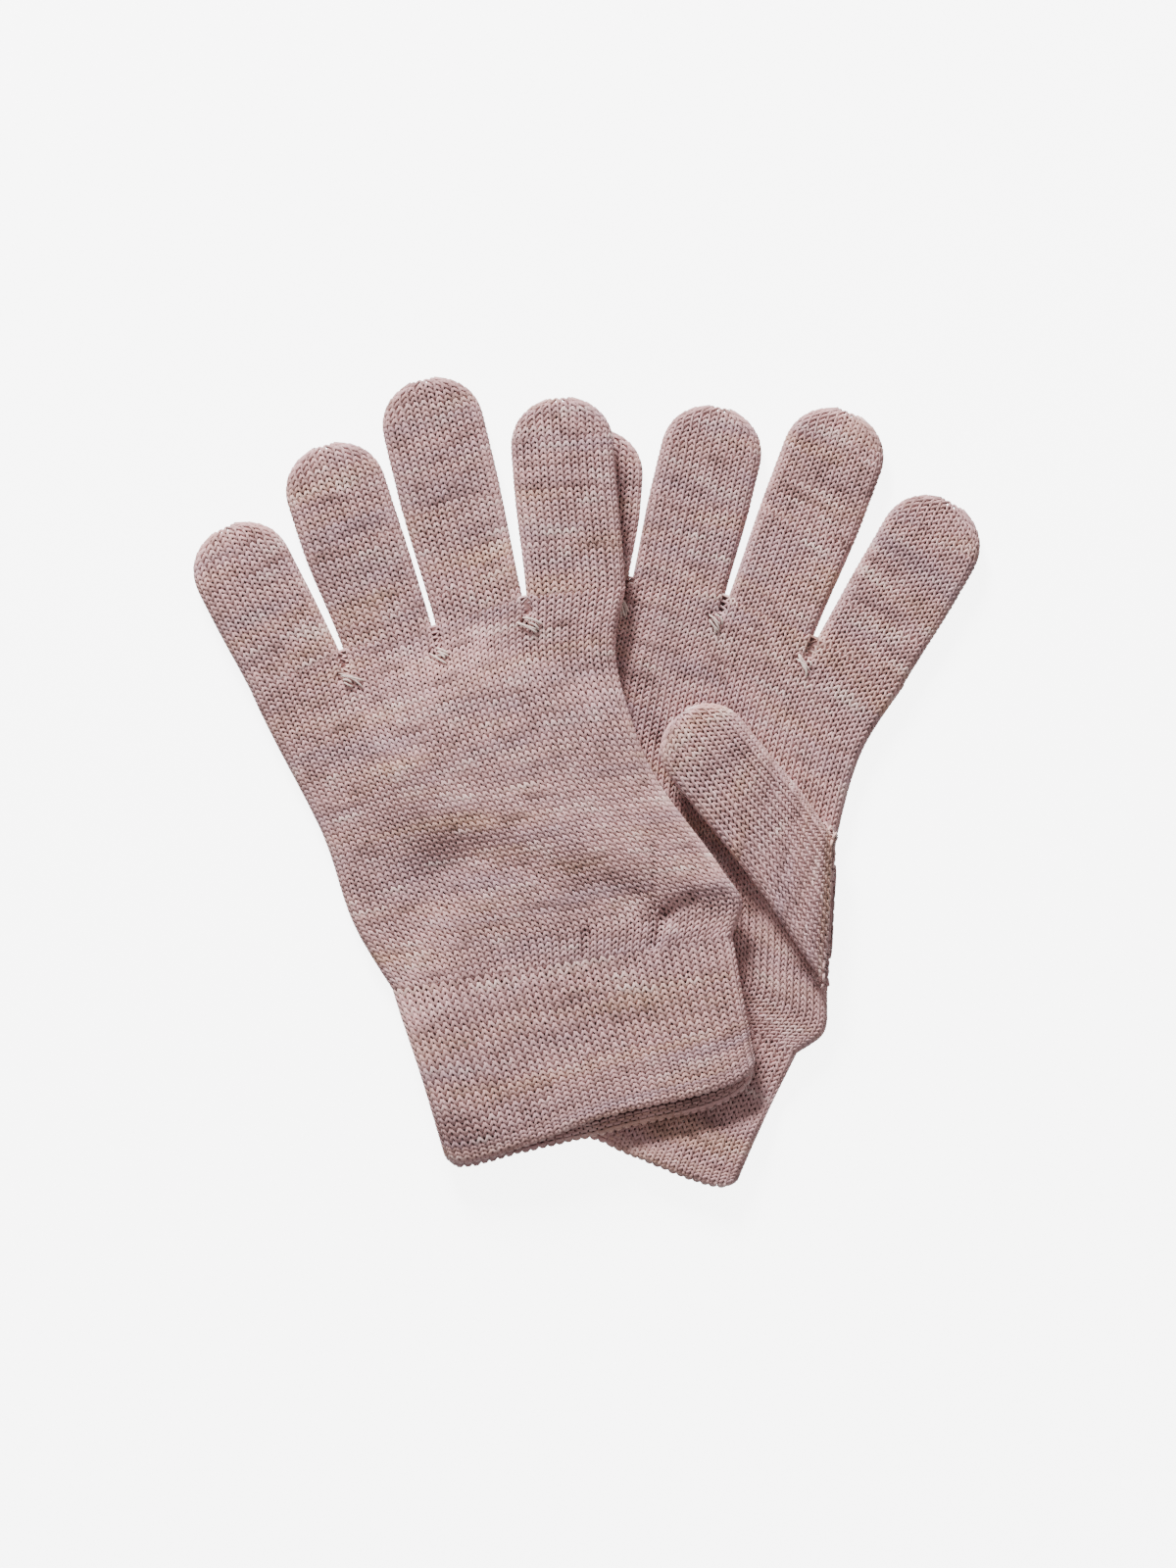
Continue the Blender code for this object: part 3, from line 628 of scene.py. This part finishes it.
class Cloth:
    """Collects the yarns and the liner of one piece, then makes its mesh."""

    def __init__(self):
        self.points = []
        self.colours = []
        self.quads = []
        self.uvs = []
        self.is_liner = []
        self.count = 0
        self.strips = 0

    def add_grid(self, points, colours, wrap_rows, liner):
        """Adds a grid of points, closed across its columns and maybe its rows."""
        rows, columns = points.shape[:2]
        row = np.arange(rows if wrap_rows else rows - 1)
        column = np.arange(columns)
        row, column = np.meshgrid(row, column, indexing="ij")
        next_row, next_column = (row + 1) % rows, (column + 1) % columns
        quads = np.stack((
            row * columns + column, next_row * columns + column,
            next_row * columns + next_column, row * columns + next_column), axis=-1)
        u = np.stack((row, row + 1, row + 1, row), axis=-1) / rows
        v = np.stack((column, column, column + 1, column + 1), axis=-1) / columns
        if liner:
            v = v * 1.8
        uv = np.stack((u, v * 0.9 + 0.05 + self.strips), axis=-1)
        self.points.append(points.reshape(-1, 3))
        self.colours.append(colours.reshape(-1, 3))
        self.quads.append(quads.reshape(-1, 4) + self.count)
        self.uvs.append(uv.reshape(-1, 2))
        self.is_liner.append(np.full(quads.shape[0] * quads.shape[1], int(liner)))
        self.count += rows * columns
        self.strips += 2 if liner else 1

    def add_yarn(self, line, normals, radius, colours):
        """Sweeps a flattened round section along a closed line."""
        ahead = np.roll(line, -1, axis=0) - np.roll(line, 1, axis=0)
        ahead /= np.linalg.norm(ahead, axis=1, keepdims=True) + 1e-12
        side = np.cross(ahead, normals)
        side /= np.linalg.norm(side, axis=1, keepdims=True) + 1e-12
        out = np.cross(side, ahead)
        angle = np.arange(YARN_SIDES) * 2.0 * math.pi / YARN_SIDES
        ring = (side[:, None] * np.sin(angle)[None, :, None] * 1.08
                + out[:, None] * np.cos(angle)[None, :, None] * 0.95)
        points = line[:, None] + ring * radius[:, None, None]
        spread = np.repeat(colours[:, None], YARN_SIDES, axis=1)
        self.add_grid(points, spread, True, False)

    def add_tube(self, line, radius, colour):
        """Sweeps a round section along an open line, with drawn-in ends."""
        line = np.asarray(line, float)
        ahead = np.gradient(line, axis=0)
        ahead /= np.linalg.norm(ahead, axis=1, keepdims=True)
        side = np.cross(ahead, (0.0, 0.0, 1.0))
        side /= np.linalg.norm(side, axis=1, keepdims=True)
        out = np.cross(side, ahead)
        angle = np.arange(TUBE_SIDES) * 2.0 * math.pi / TUBE_SIDES
        taper = np.full(len(line), radius)
        taper[[0, -1]] *= 0.15
        ring = (side[:, None] * np.sin(angle)[None, :, None]
                + out[:, None] * np.cos(angle)[None, :, None])
        points = line[:, None] + ring * taper[:, None, None]
        colours = np.tile(np.asarray(colour), (len(line), TUBE_SIDES, 1))
        self.add_grid(points, colours, False, False)

    def make(self, name, materials):
        """Makes the Blender object."""
        points = np.concatenate(self.points) * METRES
        quads = np.concatenate(self.quads)
        uvs = np.concatenate(self.uvs) / (1.0, self.strips)
        mesh = bpy.data.meshes.new(name)
        mesh.vertices.add(len(points))
        mesh.vertices.foreach_set("co", points.astype(np.float32).ravel())
        mesh.loops.add(len(quads) * 4)
        mesh.loops.foreach_set("vertex_index", quads.astype(np.int32).ravel())
        mesh.polygons.add(len(quads))
        mesh.polygons.foreach_set("loop_start", np.arange(len(quads), dtype=np.int32) * 4)
        liner = np.concatenate(self.is_liner).astype(np.int32)
        mesh.polygons.foreach_set("material_index", liner)
        mesh.update(calc_edges=True)
        mesh.shade_smooth()
        layer = mesh.uv_layers.new(name="OFBake")
        layer.data.foreach_set("uv", uvs.astype(np.float32).ravel())
        colours = np.concatenate(self.colours)
        rgba = np.column_stack((colours, np.ones(len(colours))))
        attribute = mesh.color_attributes.new("yarn_colour", "FLOAT_COLOR", "POINT")
        attribute.data.foreach_set("color", rgba.astype(np.float32).ravel())
        for material in materials:
            mesh.materials.append(material)
        item = bpy.data.objects.new(name, mesh)
        bpy.context.scene.collection.objects.link(item)
        return item


class Heather:
    """The mixed colours of the yarn over the rows and loops of one zone."""

    def __init__(self, rows, columns, seed):
        rng = np.random.default_rng(seed)
        self.rows, self.columns = rows, columns
        self.tint = cloud(rows, columns, 0.9, 4.0, rng)
        self.patch = cloud(rows, columns, 0.4, 1.5, rng)
        self.depth = cloud(rows, columns, 3.0, 7.0, rng)
        self.grain = rng.normal(size=(rows, columns))
        self.size = rng.normal(size=(rows, columns))
        self.shift = rng.normal(size=(rows, columns, 2))

    def colours(self, row, loops, steps):
        """Colours along one course, with a little change inside each loop."""
        column = (np.arange(loops * steps) / steps) % self.columns
        low = column.astype(int)
        high = (low + 1) % self.columns
        share = column - low

        def read(field):
            line = field[row % self.rows]
            return line[low] * (1.0 - share) + line[high] * share

        tint, patch, depth, grain = (
            read(field) for field in (self.tint, self.patch, self.depth, self.grain))
        colour = np.tile(linear(ROSE), (len(column), 1))
        for fibre, by_tint, by_patch, by_grain, mean, most in FIBRES:
            amount = tint * by_tint + patch * by_patch + mean + grain * by_grain
            colour = mix(colour, linear(fibre), np.clip(amount, 0.0, most))
        bright = 1.0 + 0.04 * depth + 0.10 * grain + 0.04 * patch
        return colour * np.clip(bright, 0.6, 1.4)[:, None]


def skin_frame(skin, turn, way, step):
    """Points of a skin with their outward normals."""
    point = skin(turn, way)
    round_step = skin(turn + step, way) - skin(turn - step, way)
    along_step = skin(turn, way + 0.25) - skin(turn, way - 0.25)
    normal = np.cross(round_step, along_step)
    normal /= np.linalg.norm(normal, axis=1, keepdims=True) + 1e-9
    return point, normal


def knit_course(cloth, skin, way, loops, stitch, heather, row, depth=0.0):
    """One closed course of loops round a skin, hooked towards the cuff."""
    steps = len(LOOP_STEPS)
    loop = np.repeat(np.arange(loops), steps)
    angle = np.tile(LOOP_STEPS, loops)
    size = heather.size[row % heather.rows, loop % heather.columns]
    shift = heather.shift[row % heather.rows, loop % heather.columns]
    lean = stitch["lean"] * (1.0 + 0.07 * size)
    wale = loop + angle / (2.0 * math.pi) + lean * np.sin(2.0 * angle)
    wale = wale + 0.02 * shift[:, 0]
    rise = stitch["rise"] * (1.0 + 0.05 * size)
    ways = way + rise * np.cos(angle) + 0.04 * shift[:, 1]
    turn = wale / loops
    point, normal = skin_frame(skin, turn, ways, 0.2 / loops)
    half = stitch["yarn"] / 2.0
    hook = half * 0.95
    groove = stitch["groove"] * np.cos(math.pi * wale) ** 2
    inward = half + hook * (1.0 + np.cos(2.0 * angle)) + groove + depth
    line = point - normal * inward[:, None]
    radius = half * (1.0 + 0.05 * size)
    cloth.add_yarn(line, normal, radius, heather.colours(row, loops, steps))


def add_liner(cloth, skin, ways, loops, depth=LINER_DEPTH):
    """The yarn's backs, as one closed skin inside the loops; its brown is painted shade for
    the gaps between the loops.
    """
    turn = np.arange(loops) / loops
    rows = []
    for way in ways:
        point, normal = skin_frame(skin, turn, np.full(loops, float(way)), 0.5 / loops)
        rows.append(point - normal * depth)
    points = np.array(rows)
    # Brown here is painted shade: the darker colour stands for the shade deep in the gaps
    # between loops.
    colours = np.broadcast_to(linear(BROWN), points.shape)
    cloth.add_grid(points, colours, False, True)


def even_ways(start, end, pitch):
    """Course places from start to end at about the given pitch."""
    count = max(1, round((end - start) / pitch))
    return start + (np.arange(count) + 0.5) * (end - start) / count


# ------------------------------------------------------------------ materials

def fabric_material(name, roughness, dark):
    """Heathered wool: the yarn's own colours, plied strands and loose fibres. A dark factor
    below 1 darkens it all as painted shade.
    """
    material = bpy.data.materials.new(name)
    material.use_nodes = True
    nodes, links = material.node_tree.nodes, material.node_tree.links
    shader = nodes["Principled BSDF"]
    shader.inputs["Roughness"].default_value = roughness
    shader.inputs["Specular IOR Level"].default_value = 0.12
    shader.inputs["Sheen Weight"].default_value = 0.18
    shader.inputs["Sheen Roughness"].default_value = 0.55
    shader.inputs["Sheen Tint"].default_value = (1.0, 0.95, 0.93, 1.0)
    colour = nodes.new("ShaderNodeAttribute")
    colour.attribute_name = "yarn_colour"
    place = nodes.new("ShaderNodeTexCoord")
    fibres = nodes.new("ShaderNodeTexNoise")
    fibres.inputs["Scale"].default_value = 2600.0
    fibres.inputs["Detail"].default_value = 3.0
    fibres.inputs["Roughness"].default_value = 0.65
    links.new(place.outputs["Object"], fibres.inputs["Vector"])
    fleck = nodes.new("ShaderNodeMapRange")
    fleck.inputs["From Min"].default_value = 0.3
    fleck.inputs["From Max"].default_value = 0.7
    fleck.inputs["To Min"].default_value = 0.80 * dark
    fleck.inputs["To Max"].default_value = 1.18 * dark
    links.new(fibres.outputs["Fac"], fleck.inputs["Value"])
    tinted = nodes.new("ShaderNodeVectorMath")
    tinted.operation = "SCALE"
    links.new(colour.outputs["Color"], tinted.inputs[0])
    links.new(fleck.outputs["Result"], tinted.inputs["Scale"])
    links.new(tinted.outputs["Vector"], shader.inputs["Base Color"])
    bump = nodes.new("ShaderNodeBump")
    bump.inputs["Strength"].default_value = 0.55
    bump.inputs["Distance"].default_value = 0.00025
    links.new(fibres.outputs["Fac"], bump.inputs["Height"])
    links.new(bump.outputs["Normal"], shader.inputs["Normal"])
    return material


def plain_material(name, colour, roughness):
    """A plain surface with a faint grain."""
    material = bpy.data.materials.new(name)
    material.use_nodes = True
    nodes, links = material.node_tree.nodes, material.node_tree.links
    shader = nodes["Principled BSDF"]
    shader.inputs["Roughness"].default_value = roughness
    grain = nodes.new("ShaderNodeTexNoise")
    grain.inputs["Scale"].default_value = 900.0
    ramp = nodes.new("ShaderNodeValToRGB")
    ramp.color_ramp.elements[0].color = (*(linear(colour) * 0.96), 1.0)
    ramp.color_ramp.elements[1].color = (*linear(colour), 1.0)
    links.new(grain.outputs["Fac"], ramp.inputs["Fac"])
    links.new(ramp.outputs["Color"], shader.inputs["Base Color"])
    return material


# ------------------------------------------------------------------- the build

YARN = fabric_material("heathered_wool", 0.92, 1.0)
# The liner's material is the wool darkened to 0.9 as painted shade, seen through the gaps
# between loops.
BACKS_PAINTED_SHADE = fabric_material("wool_backs_painted_shade", 0.95, 0.9)
ELASTIC = plain_material("covered_elastic", ELASTIC_GREY, 0.7)


def at(glove, pattern, height):
    """A world point in metres."""
    flat = glove.world(np.asarray(pattern, float))
    return Vector((flat[0], flat[1], height)) * METRES


def bend(item, glove, middle, axis):
    """Bakes a piece's placement into its mesh; the two points along its axis are worked out
    and not used.
    """
    at(glove, middle, 0.0)
    at(glove, middle + axis * BEND_LENGTH, 0.0)
    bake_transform(item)


def build_hand(glove, seed):
    """The hand tube, in plain knitting."""
    stitch = STITCHES["plain"]
    skin = hand_skin(glove)
    length = hand_length(glove)
    ways = even_ways(0.0, length, stitch["course"])
    heather = Heather(len(ways), HAND_WALES, seed)
    cloth = Cloth()
    for row, way in enumerate(ways):
        knit_course(cloth, skin, way, HAND_WALES, stitch, heather, row)
    add_liner(cloth, skin, np.linspace(-0.5, length, 40), HAND_WALES)
    item = cloth.make(f"{glove.name}_hand_knit", (YARN, BACKS_PAINTED_SHADE))
    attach(item, f"{glove.name}_hand")
    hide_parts(f"{glove.name}_hand")


def knit_digit(cloth, skin, width, start, length, stitch, heather):
    """The courses of a digit, which lose loops towards the round tip."""
    for row, way in enumerate(even_ways(start, length - TIP_MARGIN / 2.0, stitch["course"])):
        around = ring_length(float(width(np.array(max(way, 0.0)))))
        loops = max(LEAST_LOOPS, 2 * round(around / WALE_WIDTH / 2.0))
        knit_course(cloth, skin, way, loops, stitch, heather, row)


def build_finger(glove, index, seed):
    """One finger tube."""
    finger = FINGERS[index]
    skin, width, length, (middle, axis) = finger_skin(glove, index)
    heather = Heather(48, 30, seed)
    cloth = Cloth()
    knit_digit(cloth, skin, width, 0.0, length, STITCHES["plain"], heather)
    liner_ways = np.linspace(-0.3, length - LINER_TIP_MARGIN, 26)
    add_liner(cloth, skin, liner_ways, LINER_LOOPS)
    item = cloth.make(f"{glove.name}_{finger}_finger_knit", (YARN, BACKS_PAINTED_SHADE))
    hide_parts(f"{glove.name}_{finger}_finger")
    bend(item, glove, middle, axis)


def build_thumb(glove, seed):
    """The thumb tube, with the fabric that wraps from it round the hand's edge."""
    skin, width, (middle, axis) = thumb_skin(glove)
    heather = Heather(60, 30, seed)
    cloth = Cloth()
    knit_digit(cloth, skin, width, -THUMB_WRAP, THUMB_LENGTH, STITCHES["plain"], heather)
    depth = LINER_DEPTH if glove is REAR else HIDDEN_LINER_DEPTH
    liner_ways = np.linspace(-THUMB_WRAP * 0.8, THUMB_LENGTH - LINER_TIP_MARGIN, 34)
    add_liner(cloth, skin, liner_ways, LINER_LOOPS, depth)
    item = cloth.make(f"{glove.name}_thumb_knit", (YARN, BACKS_PAINTED_SHADE))
    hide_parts(f"{glove.name}_thumb")
    crease = REAR_THUMB_BASE if glove is REAR else OVER_THUMB_BASE
    far = 0.0 if glove is REAR else OVER_THUMB_BASE + 4.4
    at(glove, middle - axis * THUMB_BEND_START, far)
    at(glove, middle + axis * THUMB_BEND_END, crease)
    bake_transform(item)


def build_cuff(glove, seed):
    """The ribbed cuff, and the welt that turns in at its mouth."""
    stitch = STITCHES["rib"]
    skin = cuff_skin(glove)
    length = cuff_length(glove)
    wrist = glove.wrist.mean(axis=0)
    heather = Heather(40, CUFF_WALES, seed)
    cuff = Cloth()
    for row, way in enumerate(even_ways(RIB_START, length, stitch["course"])):
        knit_course(cuff, skin, way, CUFF_WALES, stitch, heather, row)
    liner_ways = np.linspace(1.6, length + 0.4, 20)
    add_liner(cuff, skin, liner_ways, CUFF_WALES, RIB_LINER_DEPTH)
    item = cuff.make(f"{glove.name}_cuff_knit", (YARN, BACKS_PAINTED_SHADE))
    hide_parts(f"{glove.name}_cuff")
    down = -(glove.wrist[1] - glove.wrist[0])[::-1] * (-1.0, 1.0)
    down = down / np.hypot(*down)
    bend(item, glove, wrist, down)
    hem = Cloth()
    for row, (kind, way, depth) in enumerate(WELT):
        knit_course(hem, skin, way, CUFF_WALES, STITCHES[kind], heather, row + 30, depth)
    add_liner(hem, skin, np.linspace(-0.7, 2.4, 5), CUFF_WALES, HEM_LINER_DEPTH)
    item = hem.make(f"{glove.name}_cuff_hem_knit", (YARN, BACKS_PAINTED_SHADE))
    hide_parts(f"{glove.name}_cuff_hem")
    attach(item, f"{glove.name}_cuff")
    build_threads(glove, skin, length)


def build_threads(glove, skin, length):
    """The two elastic threads that run inside the rib."""
    turn = np.arange(THREAD_STEPS) / THREAD_STEPS
    radius = np.full(THREAD_STEPS, THREAD_RADIUS)
    for number, place in enumerate(THREAD_PLACES):
        cloth = Cloth()
        way = np.full(THREAD_STEPS, place * length)
        way = way + 0.15 * np.sin(turn * math.tau * THREAD_WAVES)
        point, normal = skin_frame(skin, turn, way, 0.002)
        colours = np.broadcast_to(linear(ELASTIC_GREY), point.shape)
        cloth.add_yarn(point - normal * THREAD_DEPTH, normal, radius, colours)
        item = cloth.make(f"{glove.name}_elastic_{number + 1}", (ELASTIC,))
        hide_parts(f"{glove.name}_elastic_thread_{number + 1}")
        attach(item, f"{glove.name}_cuff")


def build_darns(glove, seed):
    """The loose strands that close the fabric below each slit."""
    rng = np.random.default_rng(seed)
    skin = hand_skin(glove)
    for slit in range(1, len(FINGERS)):
        centre = glove.roots[slit] - (0.0, DARN_DROP)
        cloth = Cloth()
        for number in range(DARN_STRANDS):
            turned = math.radians(DARN_TURN + 9.0 * rng.normal())
            slant = np.array((math.cos(turned), math.sin(turned)))
            step = np.array((-slant[1], slant[0]))
            reach = np.linspace(-1.0, 1.0, 9)
            half = 2.3 + 0.6 * rng.normal()
            bow = (1.0 - reach ** 2) * (0.3 + 0.3 * rng.normal())
            place = (number - (DARN_STRANDS - 1) / 2.0) * DARN_SPACING
            middle = centre + step * place + slant * 0.5 * rng.normal()
            pattern = middle + reach[:, None] * half * slant + bow[:, None] * step
            points = place_skin(glove, LAYERS[glove.name], pattern, np.ones(len(reach)))
            points[:, 2] += 0.1 + 0.2 * (1.0 - reach ** 2) - 0.7 * np.abs(reach) ** 6
            colour = linear(PALE) * (1.0 + 0.08 * rng.normal())
            cloth.add_tube(points, 0.26 + 0.03 * rng.normal(), colour)
        pair = f"{FINGERS[slit - 1]}_{FINGERS[slit]}"
        item = cloth.make(f"{glove.name}_darn_{pair}_yarn", (YARN, BACKS_PAINTED_SHADE))
        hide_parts(f"{glove.name}_darn_{pair}")
        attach(item, f"{glove.name}_hand")


def build_glove(glove):
    """All pieces of one glove."""
    seed = SEEDS[glove.name]
    build_hand(glove, seed)
    for index in range(len(FINGERS)):
        build_finger(glove, index, seed + 1 + index)
    build_thumb(glove, seed + 6)
    build_cuff(glove, seed + 7)
    build_darns(glove, seed + 8)


build_glove(REAR)
build_glove(FRONT)


# ------------------------------------------------------ floor, light, camera

def add_floor():
    """A plain pale floor."""
    half = FLOOR_HALF
    corners = [(-half, -half, 0.0), (half, -half, 0.0), (half, half, 0.0), (-half, half, 0.0)]
    mesh = bpy.data.meshes.new("floor")
    mesh.from_pydata(corners, [], [(0, 1, 2, 3)])
    material = plain_material("pale_floor", FLOOR_WHITE, 0.9)
    shader = material.node_tree.nodes["Principled BSDF"]
    shader.inputs["Emission Color"].default_value = (1.0, 1.0, 1.0, 1.0)
    shader.inputs["Emission Strength"].default_value = FLOOR_GLOW
    mesh.materials.append(material)
    floor = bpy.data.objects.new("floor", mesh)
    floor.visible_diffuse = False
    bpy.context.scene.collection.objects.link(floor)


def add_area_light(name, place, size, power):
    """A soft square light aimed at the middle of the floor."""
    data = bpy.data.lights.new(name, "AREA")
    data.size = size
    data.energy = power
    lamp = bpy.data.objects.new(name, data)
    lamp.location = place
    lamp.rotation_euler = (-Vector(place)).to_track_quat("-Z", "Y").to_euler()
    bpy.context.scene.collection.objects.link(lamp)


def add_world(strength):
    """An even pale surround."""
    world = bpy.data.worlds.new("studio")
    world.use_nodes = True
    background = world.node_tree.nodes["Background"]
    background.inputs["Color"].default_value = (1.0, 1.0, 1.0, 1.0)
    background.inputs["Strength"].default_value = strength
    bpy.context.scene.world = world


def add_camera(height, field):
    """A camera straight above, which takes in a field this tall."""
    data = bpy.data.cameras.new("camera")
    data.sensor_width = SENSOR_WIDTH
    data.lens = data.sensor_width * height / field
    camera = bpy.data.objects.new("camera", data)
    camera.location = (0.0, 0.0, height)
    bpy.context.scene.collection.objects.link(camera)
    bpy.context.scene.camera = camera


add_floor()
add_world(WORLD_STRENGTH)
add_area_light("key", KEY_PLACE, KEY_SIZE, KEY_POWER)
add_camera(CAMERA_HEIGHT, CAMERA_FIELD)
